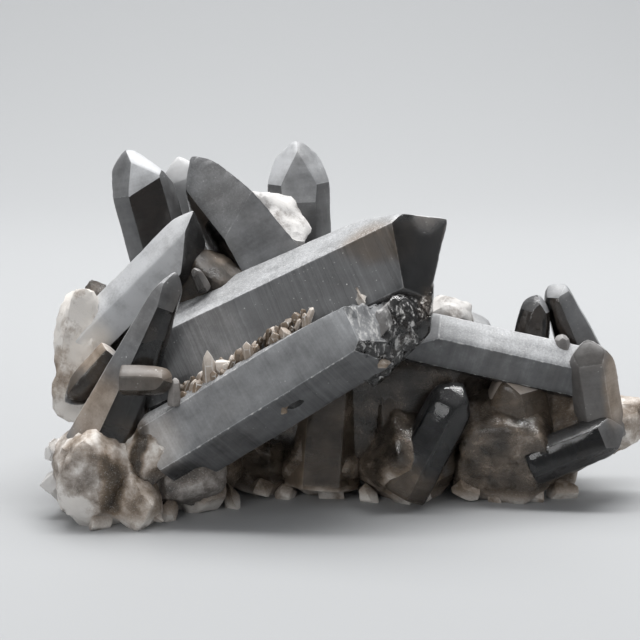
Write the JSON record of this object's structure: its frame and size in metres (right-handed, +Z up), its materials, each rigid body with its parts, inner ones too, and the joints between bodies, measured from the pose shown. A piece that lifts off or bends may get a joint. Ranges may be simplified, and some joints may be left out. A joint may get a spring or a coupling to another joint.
{
  "type": "smoky quartz cluster",
  "caption": "Natural cluster of smoky grey six-sided quartz crystals, the largest lying slantwise over a seam of tiny ones, on a milky rough foot.",
  "frame": {"origin": "middle of the specimen's box in X and Y, on the surface it rests on", "axes": "+X along the length of the cluster, towards its lower right end as seen from the front; +Y to the back; +Z up"},
  "size_m": [0.1232, 0.068, 0.072],
  "materials": {
    "smoky_quartz": "satin crystal faces with glassy broken ends, milky at the foot"
  },
  "bodies": {
    "root": {"smoky_quartz_cluster": "smoky_quartz"}
  },
  "joints": []
}
